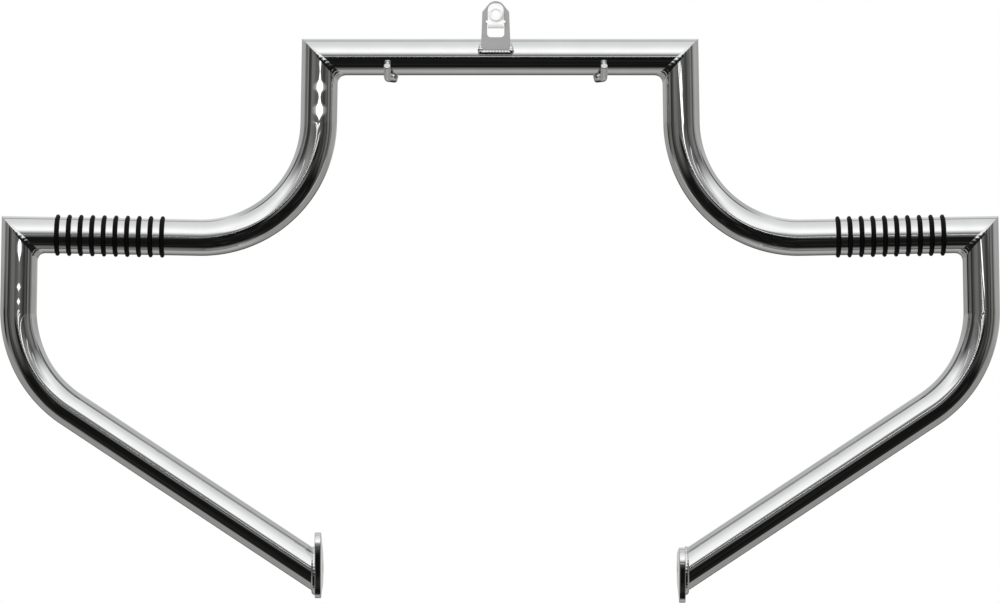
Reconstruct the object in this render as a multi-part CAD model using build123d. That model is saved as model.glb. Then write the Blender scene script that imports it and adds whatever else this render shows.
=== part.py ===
from build123d import *

import math
import os

# Round tube, the same for the whole frame
tube_od = 31.75
tube_wall = 3.05
bend_radius = 101.6

# Centre lines of the frame, seen from the front
crossbar_length = 312.8
side_drop = 158.5
side_splay = 1.0
outer_span = 833.8
leg_upright = 120.8
leg_slope = 33.5
foot_span = 321.0

# Rubber grip rings in turned grooves on the foot bars
ring_count = 10
ring_pitch = 10.1
ring_from_corner = 33.0
ring_section = 3.4
groove_depth = 1.3
groove_play = 0.1
ring_seat_gap = 0.05

# End plates at the feet; each reaches a different height above and below its leg
plate_thickness = 5.5
plate_above = {"left": 33.9, "right": 20.6}
plate_below = {"left": 23.2, "right": 27.2}
plate_top_round = {"left": 11.0, "right": 14.0}
plate_low_round = 9.0
plate_lip = 3.0
plate_edge_round = 0.8
plate_bolt_back = 38.0
plate_bolt_hole = 10.5
plate_eye_radius = 15.0

# Mounting tab on the front of the crossbar, and the fittings' shift off the middle
fitting_shift = -3.8
tab_thickness = 4.0
tab_back = 13.0
tab_foot_height = 5.2
tab_foot_width = 25.6
tab_shoulder_height = 38.2
tab_shoulder_width = 23.2
tab_top_height = 47.7
tab_dome_radius = 8.4
tab_bolt_height = 36.3
tab_bolt_hole = 8.6
tab_window_foot = 16.4
tab_window_top = 30.3
tab_window_round = 3.0

# Clip nut on the tab; its strip flares out below the bolt, then folds back through the window
clip_sheet = 1.0
clip_width = 13.8
clip_side_gap = 0.5
clip_knee_below = 5.2
clip_flare = 50.0
clip_flare_radius = 1.0
clip_above_bolt = 9.3
clip_corner_round = 6.0
clip_collar_od = 11.5
clip_collar_height = 2.5
clip_thread_hole = 6.8

# Hooks bent from rod under the crossbar
hook_rod = 6.0
hook_spacing = 178.4
hook_heel = 4.5
hook_reach = 15.5
hook_turn = 17.0
hook_rise = 42.0
hook_limb = 15.8
hook_bend = 8.0
hook_end_chamfer = 0.4

# Weld beads
bead_radius = 2.8
bead_depth = 2.0
bead_proud = 1.0
bead_margin = 0.3
foot_bead_radius = 3.0
tab_bead_radius = 2.7
tab_bead_low = 11.5
tab_bead_high = 44.0
hook_bead_radius = 4.6
hook_bead_raise = 2.4
weld_root = 0.3
weld_seat_gap = 0.02

SIDES = {"left": -1, "right": 1}
tube_radius = tube_od / 2
groove_floor = tube_radius - groove_depth
tab_front = tab_back + tab_thickness
spare = 2 * tube_od


def corners(side):
    """Centre-line corners of one half, in order from the crossbar to the foot."""
    lean = math.radians(side_splay)
    down = Vector(SIDES[side] * math.sin(lean), 0, -math.cos(lean))
    out = Vector(SIDES[side] * math.cos(lean), 0, math.sin(lean))
    upper = Vector(SIDES[side] * crossbar_length / 2, 0, 0)
    knee = upper + down * (side_drop / math.cos(lean))
    outer = knee + out * ((outer_span / 2 - abs(knee.X)) / math.cos(lean))
    heel = outer + down * leg_upright
    fall = (abs(heel.X) - foot_span / 2) * math.tan(math.radians(leg_slope))
    foot = Vector(SIDES[side] * foot_span / 2, 0, heel.Z - fall)
    return upper, knee, outer, heel, foot


def past(start, end):
    """Point on the line from start to end, far enough past the end to be trimmed back."""
    return end + (end - start).normalized() * spare


def mitre(corner, kept, other):
    """Plane that halves a corner, with the kept centre line on its upper side."""
    normal = (kept - corner).normalized() - (other - corner).normalized()
    return Plane(corner, z_dir=normal)


def swept(section, path):
    """Section carried along a path that starts at the section's middle."""
    return sweep(Plane(path @ 0, z_dir=path % 0) * section, path=path)


def oval(plane, long_half, short_half):
    """Closed path of four tangent arcs, close to an ellipse, from the middle of a long end."""
    end = short_half**2 / long_half
    flank = (long_half**2 + short_half**2 - 2 * long_half * end) / (2 * (short_half - end))
    end_middle = long_half - end
    flank_middle = flank - short_half
    turn = math.degrees(math.atan2(flank_middle, end_middle))
    arcs = [
        CenterArc((end_middle, 0), end, 0, turn),
        CenterArc((0, -flank_middle), flank, turn, 180 - 2 * turn),
        CenterArc((-end_middle, 0), end, 180 - turn, 2 * turn),
        CenterArc((0, flank_middle), flank, 180 + turn, 180 - 2 * turn),
        CenterArc((end_middle, 0), end, -turn, turn),
    ]
    return Wire([plane * arc for arc in arcs])


def tube_section(filled):
    """Ring of the tube's wall, or a full disc that clears its outside for what is welded on."""
    if filled:
        return Circle(tube_radius + weld_seat_gap)
    return Circle(tube_radius) - Circle(tube_radius - tube_wall)


def top_crossbar(filled=False):
    """Straight tube between the upper corners, mitred at both ends."""
    left, left_knee = corners("left")[:2]
    right, right_knee = corners("right")[:2]
    bar = swept(tube_section(filled), Line(past(right, left), past(left, right)))
    bar = split(bar, mitre(left, right, left_knee), keep=Keep.TOP)
    return split(bar, mitre(right, left, right_knee), keep=Keep.TOP)


def side_tube(side, filled=False):
    """Downtube, square bend and foot bar in one length, mitred at both ends."""
    upper, knee, outer, heel, foot = corners(side)
    path = FilletPolyline(past(knee, upper), knee, past(knee, outer), radius=bend_radius)
    tube = swept(tube_section(filled), path)
    tube = split(tube, mitre(upper, knee, Vector(0, 0, 0)), keep=Keep.TOP)
    return split(tube, mitre(outer, knee, heel), keep=Keep.TOP)


def leg(side, filled=False):
    """Upright, bend and slanting run in one length, cut square to the end plate."""
    upper, knee, outer, heel, foot = corners(side)
    path = FilletPolyline(past(heel, outer), heel, past(heel, foot), radius=bend_radius)
    tube = swept(tube_section(filled), path)
    tube = split(tube, mitre(outer, heel, knee), keep=Keep.TOP)
    return split(tube, Plane(foot, z_dir=(SIDES[side], 0, 0)), keep=Keep.TOP)


def ring_planes(side):
    """Middle planes of the grip rings, the first nearest the outer corner."""
    upper, knee, outer, heel, foot = corners(side)
    inwards = (knee - outer).normalized()
    places = [ring_from_corner + ring_pitch * index for index in range(ring_count)]
    return [Plane(outer + inwards * place, z_dir=inwards) for place in places]


def ring_grooves(side):
    """Square grooves turned in the foot bar, one for each grip ring."""
    width = ring_section + 2 * groove_play
    groove = Cylinder(tube_radius + groove_depth, width) - Cylinder(groove_floor, width)
    return [plane * groove for plane in ring_planes(side)]


def grip_ring():
    """Round-section rubber ring that sits on its groove's floor."""
    middle = groove_floor + ring_seat_gap + ring_section / 2
    return Torus(middle, ring_section / 2)


def end_plate(side):
    """Flat lug: straight front edge with rounded corners, and an eye behind for the bolt."""
    foot = corners(side)[4]
    front = -(tube_radius + plate_lip)
    top_round = plate_top_round[side]
    low_round = plate_low_round
    top = Pos(front + top_round, plate_above[side] - top_round) * Circle(top_round)
    low = Pos(front + low_round, low_round - plate_below[side]) * Circle(low_round)
    eye = Pos(plate_bolt_back, 0) * Circle(plate_eye_radius)
    outline = make_hull(top.edges() + low.edges() + eye.edges())
    face = Plane(foot, x_dir=(0, 1, 0), z_dir=(1, 0, 0))
    plate = extrude(face * outline, -SIDES[side] * plate_thickness)
    plate = fillet(plate.edges().filter_by(Plane.YZ), plate_edge_round)
    hole = face * Pos(plate_bolt_back, 0) * Cylinder(plate_bolt_hole / 2, 3 * plate_thickness)
    return plate - hole


def tab_plane(ahead):
    """Upright plane through the tab's middle, a distance ahead of the crossbar's centre line."""
    return Plane((fitting_shift, -ahead, 0), x_dir=(1, 0, 0), z_dir=(0, -1, 0))


def level_line(width, height):
    """Level line across a flat outline, centred on its middle."""
    return Line((-width / 2, height), (width / 2, height))


def mounting_tab():
    """Domed flat tab with a bolt hole and a window, its foot shaped to the crossbar."""
    foot = level_line(tab_foot_width, tab_foot_height)
    shoulder = level_line(tab_shoulder_width, tab_shoulder_height)
    dome = Pos(0, tab_top_height - tab_dome_radius) * Circle(tab_dome_radius)
    outline = make_hull(foot.edges() + shoulder.edges() + dome.edges())
    window_height = tab_window_top - tab_window_foot
    window = Rectangle(clip_width + 2 * clip_side_gap, window_height)
    window = fillet(window.vertices().sort_by(Axis.Y)[:2], tab_window_round)
    outline -= Pos(0, tab_window_foot + window_height / 2) * window
    outline -= Pos(0, tab_bolt_height) * Circle(tab_bolt_hole / 2)
    return extrude(tab_plane(tab_back) * outline, tab_thickness) - top_crossbar(filled=True)


def clip_nut():
    """Spring-steel strip folded back through the tab's window, with a threaded collar in front."""
    front = -(tab_front + clip_sheet / 2)
    back = -(tab_back - clip_sheet / 2)
    top = tab_bolt_height + clip_above_bolt
    knee = tab_bolt_height - clip_knee_below
    lean = math.cos(math.radians(clip_flare))
    fold_radius = (back - front + clip_flare_radius * (1 - lean)) / (1 + lean)
    fold_middle = back - fold_radius
    fold_height = knee - (clip_flare_radius + fold_radius) * math.sin(math.radians(clip_flare))
    strip = Line((front, top), (front, knee))
    strip += CenterArc((front - clip_flare_radius, knee), clip_flare_radius, 0, -clip_flare)
    strip += CenterArc((fold_middle, fold_height), fold_radius, 180 - clip_flare, 180 + clip_flare)
    strip += Line((back, fold_height), (back, top))
    middle = Plane((fitting_shift, 0, 0), x_dir=(0, 1, 0), z_dir=(1, 0, 0))
    nut = extrude(middle * trace(strip, clip_sheet), clip_width / 2, both=True)
    nut = fillet(nut.edges().filter_by(Axis.Y).sort_by(Axis.Z)[-4:], clip_corner_round)
    bolt = Pos(0, tab_bolt_height)
    wall = clip_sheet + clip_collar_height
    nut += extrude(tab_plane(tab_front) * bolt * Circle(clip_collar_od / 2), wall)
    nut -= extrude(tab_plane(tab_front) * bolt * Circle(clip_thread_hole / 2), wall)
    return nut - extrude(tab_plane(tab_back) * bolt * Circle(tab_bolt_hole / 2), -2 * clip_sheet)


def hook_points(side):
    """Heel, contact below the crossbar, bend corner and tip of a hook's centre line."""
    turn = math.radians(hook_turn)
    rise = math.radians(hook_rise)
    ahead = Vector(SIDES[side] * math.sin(turn), -math.cos(turn), 0)
    up = Vector(0, -math.cos(rise), math.sin(rise))
    level = -(tube_radius + weld_root + hook_rod / 2)
    contact = Vector(fitting_shift + SIDES[side] * hook_spacing / 2, 0, level)
    corner = contact + ahead * hook_reach
    return contact - ahead * hook_heel, contact, corner, corner + up * hook_limb


def hook(side):
    """Rod with its foot under the crossbar and a limb that rises in front of it."""
    heel, contact, corner, tip = hook_points(side)
    rod = swept(Circle(hook_rod / 2), FilletPolyline(heel, corner, tip, radius=hook_bend))
    tip_edge = rod.edges().filter_by(GeomType.CIRCLE).sort_by(Axis.Y)[0]
    return chamfer(tip_edge, hook_end_chamfer)


def corner_bead(corner, first, second):
    """Weld that fills the inside of a mitred corner and dies out halfway round."""
    towards_first = (first - corner).normalized()
    towards_second = (second - corner).normalized()
    inside = (towards_first + towards_second).normalized()
    half_angle = towards_first.get_angle(towards_second) / 2
    slant = tube_radius / math.sin(math.radians(half_angle))
    sunk = slant - bead_radius / math.sin(math.radians(half_angle)) - bead_margin
    inner = slant + bead_proud
    middle = corner + inside * (inner - sunk) / 2
    plane = Plane(middle, x_dir=-inside, z_dir=towards_first - towards_second)
    ring = oval(plane, (inner + sunk) / 2, tube_radius - bead_depth)
    return swept(Circle(bead_radius), ring)


def upper_bead(side):
    """Weld between the crossbar and a side tube."""
    upper, knee, outer, heel, foot = corners(side)
    bead = corner_bead(upper, Vector(0, 0, 0), knee)
    return bead - top_crossbar(filled=True) - side_tube(side, filled=True)


def outer_bead(side):
    """Weld between a side tube and a leg."""
    upper, knee, outer, heel, foot = corners(side)
    bead = corner_bead(outer, knee, heel)
    return bead - side_tube(side, filled=True) - leg(side, filled=True)


def foot_bead(side):
    """Weld all round a leg where it meets its end plate."""
    foot = corners(side)[4]
    face = Plane(foot, x_dir=(0, 0, 1), z_dir=(SIDES[side], 0, 0))
    tall = tube_radius / math.cos(math.radians(leg_slope))
    bead = swept(Circle(foot_bead_radius), oval(face, tall, tube_radius))
    return split(bead, face, keep=Keep.TOP) - leg(side, filled=True)


def tab_bead():
    """Weld along the tab's lower edge and a short way up both its sides."""
    low = math.radians(tab_bead_low)
    high = math.radians(tab_bead_high)
    half = tab_foot_width / 2

    def on_tube(x, angle):
        return Vector(fitting_shift + x, -tube_radius * math.cos(angle), tube_radius * math.sin(angle))

    section = Circle(tab_bead_radius)
    bead = swept(section, Line(on_tube(-half, low), on_tube(half, low)))
    for x in (-half, half):
        climb = ThreePointArc(on_tube(x, low), on_tube(x, (low + high) / 2), on_tube(x, high))
        bead += swept(section, climb)
        bead += Pos(on_tube(x, low)) * Sphere(tab_bead_radius)
        bead += Pos(on_tube(x, high)) * Sphere(tab_bead_radius)
    return bead - top_crossbar(filled=True) - mounting_tab()


def hook_bead(side):
    """Lump of weld round a hook's foot, where it passes under the crossbar."""
    contact = hook_points(side)[1]
    bead = Pos(contact + Vector(0, 0, hook_bead_raise)) * Sphere(hook_bead_radius)
    return bead - top_crossbar(filled=True) - hook(side)


def all_nodes():
    """Every piece by its name, about the middle of the crossbar's centre line."""
    nodes = {
        "top_crossbar": top_crossbar(),
        "mounting_tab": mounting_tab(),
        "clip_nut": clip_nut(),
        "tab_weld": tab_bead(),
    }
    for side in SIDES:
        nodes[f"{side}_side_tube"] = side_tube(side) - ring_grooves(side)
        nodes[f"{side}_leg"] = leg(side)
        nodes[f"{side}_end_plate"] = end_plate(side)
        nodes[f"{side}_hook"] = hook(side)
        nodes[f"{side}_upper_weld"] = upper_bead(side)
        nodes[f"{side}_outer_weld"] = outer_bead(side)
        nodes[f"{side}_foot_weld"] = foot_bead(side)
        nodes[f"{side}_hook_weld"] = hook_bead(side)
        for number, plane in enumerate(ring_planes(side), start=1):
            nodes[f"{side}_ring_{number:02d}"] = plane * grip_ring()
    return nodes


# The origin is on the clip nut's thread, halfway along it
thread_middle = tab_front + (clip_sheet + clip_collar_height) / 2
to_origin = Pos(-fitting_shift, thread_middle, -tab_bolt_height)

os.makedirs("parts", exist_ok=True)
for name, piece in all_nodes().items():
    export_step(to_origin * piece, f"parts/{name}.step")
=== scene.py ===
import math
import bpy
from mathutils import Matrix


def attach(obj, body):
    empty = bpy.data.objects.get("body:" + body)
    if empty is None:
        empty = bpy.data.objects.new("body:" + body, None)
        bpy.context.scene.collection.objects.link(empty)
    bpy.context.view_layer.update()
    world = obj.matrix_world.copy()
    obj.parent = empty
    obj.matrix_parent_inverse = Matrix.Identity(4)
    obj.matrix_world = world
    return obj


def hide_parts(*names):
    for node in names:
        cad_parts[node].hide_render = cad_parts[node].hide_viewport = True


bl_info = {
    "name": "Chromed crash bar",
    "version": (1, 0, 0),
    "blender": (4, 5, 0),
    "location": "View3D > Sidebar > Crash bar",
    "description": "Dresses the packed crash bar: tubes, welds, plates, tab, hooks and rings",
    "category": "Object",
}

import bmesh
import bpy
from bpy.props import FloatProperty, FloatVectorProperty, IntProperty, PointerProperty
from mathutils import Matrix, Vector, noise

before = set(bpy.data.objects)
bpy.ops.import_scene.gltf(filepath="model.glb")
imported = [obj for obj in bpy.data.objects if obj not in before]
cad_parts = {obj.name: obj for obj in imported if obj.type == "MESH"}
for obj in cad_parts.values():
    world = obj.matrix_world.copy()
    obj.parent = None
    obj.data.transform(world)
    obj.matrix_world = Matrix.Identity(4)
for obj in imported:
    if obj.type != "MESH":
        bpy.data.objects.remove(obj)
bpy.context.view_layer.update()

SIDES = {"left": -1, "right": 1}
BACK = Vector((0, 1, 0))
UP = Vector((0, 0, 1))
BODY = "root"

# Facets round a plate's or the tab's corners, and round a hole
ROUND_SIDES = 96
HOLE_SIDES = 64

# Edges below the soft angle are shaded smooth and those above the hard angle sharp. Between the
# two, an edge is sharp where one face is this many times as large as the other.
SOFT_ANGLE = math.radians(4)
HARD_ANGLE = math.radians(32)
RIM_RATIO = 6

# Uneven lumps in a weld bead: how many to a metre, and how high as a share of the bead
LUMPS = 160
LUMP_HEIGHT = 0.12

# Share of the light that chrome gives back
CHROME_MIRRORS = 0.86


def length(name, millimetres, description):
    """Length property, given in millimetres and kept in metres."""
    return FloatProperty(
        name=name, description=description, default=millimetres / 1000, unit="LENGTH", precision=5)


def angle(name, degrees, description):
    """Angle property, given in degrees and kept in radians."""
    return FloatProperty(
        name=name, description=description, default=math.radians(degrees), subtype="ANGLE")


def share(name, value, description):
    """Number from 0 to 1."""
    return FloatProperty(
        name=name, description=description, default=value, min=0, max=1, subtype="FACTOR")


def tint(name, value, description):
    """Plain linear colour."""
    return FloatVectorProperty(
        name=name, description=description, default=value, size=3, min=0, max=1, subtype="COLOR")


class TubeSizes(bpy.types.PropertyGroup):
    """Bent tube frame, in the plane of its centre lines."""

    outside: length("Outside", 31.75, "Outside diameter of the tube")
    wall: length("Wall", 3.05, "Thickness of the tube's wall")
    bend: length("Bend", 101.6, "Centre-line radius of every bend")
    crossbar: length("Crossbar", 312.8, "Crossbar between its mitred corners")
    drop: length("Drop", 158.5, "Crossbar down to the knee of a side tube")
    splay: angle("Splay", 1.0, "Outward lean of the side tubes")
    span: length("Span", 833.8, "Outer corner to outer corner")
    upright: length("Upright", 120.8, "Outer corner down to the heel of a leg")
    slope: angle("Slope", 33.5, "Slope of the legs")
    feet: length("Feet", 321.0, "Outer face of one end plate to the other")
    shift: length("Shift", 3.8, "Middle of the frame, right of the tab")
    behind: length("Behind", 18.75, "Centre lines behind the middle of the bolt's thread")
    below: length("Below", 36.3, "Crossbar's centre line below the bolt")
    sides: IntProperty(name="Sides", description="Facets round a tube", default=128, min=24)
    steps: IntProperty(name="Steps", description="Facets along a square bend", default=96, min=16)


class RingSizes(bpy.types.PropertyGroup):
    """Rubber grip rings and their grooves in the foot bars."""

    count: IntProperty(name="Count", description="Rings on each foot bar", default=10, min=1)
    pitch: length("Pitch", 10.1, "Ring to ring")
    start: length("Start", 33.0, "Outer corner to the first ring")
    section: length("Section", 3.4, "Thickness of the rubber")
    groove: length("Groove", 1.3, "Depth of a groove")
    play: length("Play", 0.1, "Room beside a ring in its groove")
    seat: length("Seat", 0.05, "Room below a ring in its groove")
    edge: length("Edge", 0.5, "Rounding of a groove's edges")


class PlateSizes(bpy.types.PropertyGroup):
    """Flat end plates at the feet."""

    thickness: length("Thickness", 5.5, "Thickness of a plate")
    left_above: length("Left above", 33.9, "Left plate above its leg's middle")
    left_below: length("Left below", 23.2, "Left plate below its leg's middle")
    left_round: length("Left rounding", 11.0, "Upper front corner of the left plate")
    right_above: length("Right above", 20.6, "Right plate above its leg's middle")
    right_below: length("Right below", 27.2, "Right plate below its leg's middle")
    right_round: length("Right rounding", 14.0, "Upper front corner of the right plate")
    low_round: length("Lower rounding", 9.0, "Lower front corner of both plates")
    lip: length("Lip", 3.0, "Plate in front of its leg")
    edge: length("Edge", 0.8, "Rounding of the edges")
    bolt_back: length("Bolt back", 38.0, "Bolt hole behind the leg's middle")
    bolt_hole: length("Bolt hole", 10.5, "Diameter of the bolt hole")
    eye: length("Eye", 15.0, "Radius of the plate round the bolt hole")


class TabSizes(bpy.types.PropertyGroup):
    """Domed mounting tab on the crossbar, about its bolt."""

    front: length("Front", 1.75, "Front face behind the thread's middle")
    thickness: length("Thickness", 4.0, "Thickness of the tab")
    foot: length("Foot", 31.1, "Lower edge below the bolt")
    foot_width: length("Foot width", 25.6, "Width at the lower edge")
    shoulder: length("Shoulder", 1.9, "Shoulder above the bolt")
    shoulder_width: length("Shoulder width", 23.2, "Width at the shoulder")
    top: length("Top", 11.4, "Top above the bolt")
    dome: length("Dome", 8.4, "Radius of the domed top")
    hole: length("Hole", 8.6, "Diameter of the bolt hole")
    window_foot: length("Window foot", 19.9, "Lower edge of the window below the bolt")
    window_top: length("Window top", 6.0, "Upper edge of the window below the bolt")
    window_width: length("Window width", 14.8, "Width of the window")
    window_round: length("Window rounding", 3.0, "Lower corners of the window")
    edge: length("Edge", 0.6, "Rounding of the edges")


class ClipSizes(bpy.types.PropertyGroup):
    """Folded clip nut on the tab, about its bolt."""

    sheet: length("Sheet", 1.0, "Thickness of the strip")
    width: length("Width", 13.8, "Width of the strip")
    top: length("Top", 9.3, "Top of the strip above the bolt")
    knee: length("Knee", 5.2, "Where the strip leaves the tab, below the bolt")
    ears: length("Ears", 16.8, "Width across the shoulders of the fold")
    corner: length("Corner", 6.0, "Rounding of the strip's upper corners")
    flare: angle("Flare", 50.0, "How far the strip turns out before it folds back")
    flare_round: length("Flare rounding", 0.5, "Radius of that turn")
    collar: length("Collar", 11.5, "Outside of the threaded collar")
    rise: length("Rise", 2.5, "Height of the collar")
    thread: length("Thread", 6.8, "Inside of the thread")
    major: length("Thread root", 8.0, "Root diameter of the thread")
    pitch: length("Thread pitch", 1.25, "Thread pitch")


class HookSizes(bpy.types.PropertyGroup):
    """Bent rod hooks under the crossbar."""

    rod: length("Rod", 6.0, "Diameter of the rod")
    spacing: length("Spacing", 178.4, "Hook to hook")
    heel: length("Heel", 4.5, "Rod behind the crossbar's middle")
    reach: length("Reach", 15.5, "Rod in front of the crossbar's middle, to its bend")
    turn: angle("Turn", 17.0, "Rod's turn away from straight ahead")
    rise: angle("Rise", 42.0, "Rise of the free limb")
    limb: length("Limb", 15.8, "Free limb from the bend to its tip")
    bend: length("Bend", 8.0, "Radius of the bend")
    root: length("Root", 0.3, "Gap between rod and crossbar, which the weld fills")
    tip: length("Tip", 0.8, "Rounding of the rod's ends")


class WeldSizes(bpy.types.PropertyGroup):
    """Weld beads, plated with the frame."""

    inner: length("Inner leg", 7.0, "Reach along each tube in the inside of a mitred corner")
    front: length("Front leg", 3.2, "Reach along each tube at a mitred corner's front and back")
    crown: length("Crown", 1.3, "Height of the bead at the front and back of a mitred corner")
    foot: length("Foot", 3.0, "Half width of the beads at the feet")
    tab: length("Tab", 2.7, "Half width of the bead round the tab's foot")
    tab_low: angle("Tab low", 11.5, "Bead along the tab's foot, up the crossbar from its front")
    tab_high: angle("Tab high", 44.0, "Upper end of the beads up the tab's sides")
    hook: length("Hook", 4.6, "Half width of the lumps at the hooks")
    ripple: share("Ripple", 0.2, "Height of the ripples, as a share of the half width")
    pitch: length("Ripple pitch", 2.6, "Ripple to ripple")


class Finishes(bpy.types.PropertyGroup):
    """Colours and gloss of the finishes."""

    chrome: tint("Chrome", (0.86, 0.865, 0.87), "Bright chrome plate")
    chrome_rough: share("Chrome roughness", 0.004, "Roughness of the polished chrome")
    satin: tint("Satin", (0.39, 0.39, 0.388), "Plated tab, less polished")
    satin_rough: share("Satin roughness", 0.38, "Roughness of the plated tab")
    zinc: tint("Zinc", (0.90, 0.90, 0.895), "Zinc plate of the clip nut")
    zinc_rough: share("Zinc roughness", 0.42, "Roughness of the zinc plate")
    rubber: tint("Rubber", (0.002, 0.002, 0.002), "Black rubber")
    rubber_rough: share("Rubber roughness", 0.55, "Roughness of the rubber")
    floor: tint("Floor", (0.86, 0.86, 0.86), "Studio floor")


class StageSettings(bpy.types.PropertyGroup):
    """Camera and floor."""

    distance: length("Distance", 4600.0, "Camera in front of the centre lines")
    across: length("Across", 868.0, "Width of the picture at the centre lines")
    eye_x: length("Eye across", 3.7, "Camera right of the bolt")
    eye_z: length("Eye height", -248.5, "Camera above the bolt")
    floor_z: length("Floor", -560.0, "Floor above the bolt")
    floor_size: length("Floor size", 1300.0, "Radius of the floor")


class CrashBar(bpy.types.PropertyGroup):
    """All settings of the crash bar."""

    tube: PointerProperty(type=TubeSizes)
    ring: PointerProperty(type=RingSizes)
    plate: PointerProperty(type=PlateSizes)
    tab: PointerProperty(type=TabSizes)
    clip: PointerProperty(type=ClipSizes)
    hook: PointerProperty(type=HookSizes)
    weld: PointerProperty(type=WeldSizes)
    finish: PointerProperty(type=Finishes)
    stage: PointerProperty(type=StageSettings)


def bar():
    """Settings in use."""
    return bpy.context.scene.crash_bar


# Centre lines


def corners(side):
    """Centre-line corners of one half, in order from the crossbar to the foot."""
    tube = bar().tube
    sign = SIDES[side]
    middle = Vector((tube.shift, tube.behind, -tube.below))
    down = Vector((sign * math.sin(tube.splay), 0, -math.cos(tube.splay)))
    out = Vector((sign * math.cos(tube.splay), 0, math.sin(tube.splay)))
    upper = Vector((sign * tube.crossbar / 2, 0, 0))
    knee = upper + down * (tube.drop / math.cos(tube.splay))
    outer = knee + out * ((tube.span / 2 - abs(knee.x)) / math.cos(tube.splay))
    heel = outer + down * tube.upright
    fall = (abs(heel.x) - tube.feet / 2) * math.tan(tube.slope)
    foot = Vector((sign * tube.feet / 2, 0, heel.z - fall))
    return [middle + point for point in (upper, knee, outer, heel, foot)]


def crossbar_middle():
    """Middle of the crossbar's centre line."""
    return corners("left")[0].lerp(corners("right")[0], 0.5)


def past(start, end):
    """Point beyond the end of a line, far enough to be trimmed back."""
    return end + (end - start).normalized() * 2 * bar().tube.outside


def mitre(corner, kept, other):
    """Plane that halves a corner, its normal towards what is cut away."""
    return corner, (other - corner).normalized() - (kept - corner).normalized()


def square_to(along, sideways=BACK):
    """Turning matrix with Z along a direction and Y near another one."""
    z = along.normalized()
    x = sideways.cross(z).normalized()
    return Matrix((x, z.cross(x), z)).transposed().to_4x4()


def place(point, along, sideways=BACK):
    """Matrix that puts a flat outline at a point, square to a direction."""
    return Matrix.Translation(point) @ square_to(along, sideways)


# Shaping


def edges_of(verts):
    """Edges that join the given vertices."""
    chosen = set(verts)
    found = {edge for vert in verts for edge in vert.link_edges}
    return [edge for edge in found if chosen.issuperset(edge.verts)]


def verts_of(edges):
    """Vertices of the given edges."""
    return list({vert for edge in edges for vert in edge.verts})


def circle(bm, radius, sides, matrix):
    """Open circle of edges."""
    made = bmesh.ops.create_circle(bm, segments=sides, radius=radius, matrix=matrix)
    return edges_of(made["verts"])


def carry(bm, edges, matrix):
    """Extrudes an edge loop through a transform, and returns the new loop."""
    made = bmesh.ops.extrude_edge_only(bm, edges=edges)["geom"]
    verts = [item for item in made if isinstance(item, bmesh.types.BMVert)]
    bmesh.ops.transform(bm, matrix=matrix, verts=verts)
    return edges_of(verts)


def run(bm, edges, step):
    """Carries an edge loop straight on."""
    return carry(bm, edges, Matrix.Translation(step))


def swing(bm, edges, centre, axis, turn, steps):
    """Carries an edge loop round a bend."""
    geometry = edges + verts_of(edges)
    made = bmesh.ops.spin(bm, geom=geometry, cent=centre, axis=axis, angle=turn, steps=steps)
    return [item for item in made["geom_last"] if isinstance(item, bmesh.types.BMEdge)]


def turned(bm, edges, start, along, stations):
    """Carries a round loop through (distance, radius) stations, the first its own."""
    for (here, narrow), (there, wide) in zip(stations, stations[1:]):
        grow = Matrix.Translation(start + along * there) @ Matrix.Scale(wide / narrow, 4)
        edges = carry(bm, edges, grow @ Matrix.Translation(-(start + along * here)))
    return edges


def bent_shell(bm, points, radius, bend, sides, steps):
    """Round skin along a straight run and a bend.

    Returns its first loop, its last loop and the middle of the last. A short lead on both sides
    of the bend keeps the long runs straight in their shading.
    """
    start, corner, end = points
    arriving = (corner - start).normalized()
    leaving = (end - corner).normalized()
    turn = arriving.angle(leaving)
    reach = bend * math.tan(turn / 2)
    axis = arriving.cross(leaving).normalized()
    lead = radius / 10
    first = circle(bm, radius, sides, place(start, arriving))
    edges = run(bm, first, corner - arriving * (reach + lead) - start)
    edges = run(bm, edges, arriving * lead)
    centre = corner - arriving * reach + axis.cross(arriving) * bend
    edges = swing(bm, edges, centre, axis, turn, steps)
    edges = run(bm, edges, leaving * lead)
    return first, edges, corner + leaving * (reach + lead)


def cut(bm, point, normal):
    """Cuts away what lies on the normal's side of a plane, and returns the open rim."""
    everything = bm.verts[:] + bm.edges[:] + bm.faces[:]
    made = bmesh.ops.bisect_plane(
        bm, geom=everything, dist=1e-7, plane_co=point, plane_no=normal, clear_outer=True)
    return [item for item in made["geom_cut"] if isinstance(item, bmesh.types.BMEdge)]


def trim(bm, point, normal):
    """Cuts a hollow piece off on a plane, and closes its wall there."""
    bmesh.ops.bridge_loops(bm, edges=cut(bm, point, normal))


def cap(bm, edges):
    """Closes a loop with one face."""
    bmesh.ops.contextual_create(bm, geom=edges)


def sharp_edges(bm, limit):
    """Edges whose faces meet at more than an angle."""
    joints = [edge for edge in bm.edges if len(edge.link_faces) == 2]
    return [edge for edge in joints if edge.calc_face_angle() > limit]


def round_off(bm, edges, size, segments):
    """Rounds edges by a small radius."""
    bmesh.ops.bevel(
        bm, geom=edges, offset=size, offset_type="OFFSET", segments=segments, profile=0.5,
        affect="EDGES", clamp_overlap=True, material=-1)


def hull(bm):
    """Wraps the vertices in one convex solid with plain flat faces."""
    bmesh.ops.convex_hull(bm, input=bm.verts[:])
    bmesh.ops.delete(bm, geom=[edge for edge in bm.edges if not edge.link_faces], context="EDGES")
    bmesh.ops.delete(bm, geom=[vert for vert in bm.verts if not vert.link_faces], context="VERTS")
    bmesh.ops.dissolve_limit(
        bm, angle_limit=math.radians(1), verts=bm.verts[:], edges=bm.edges[:])


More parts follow.
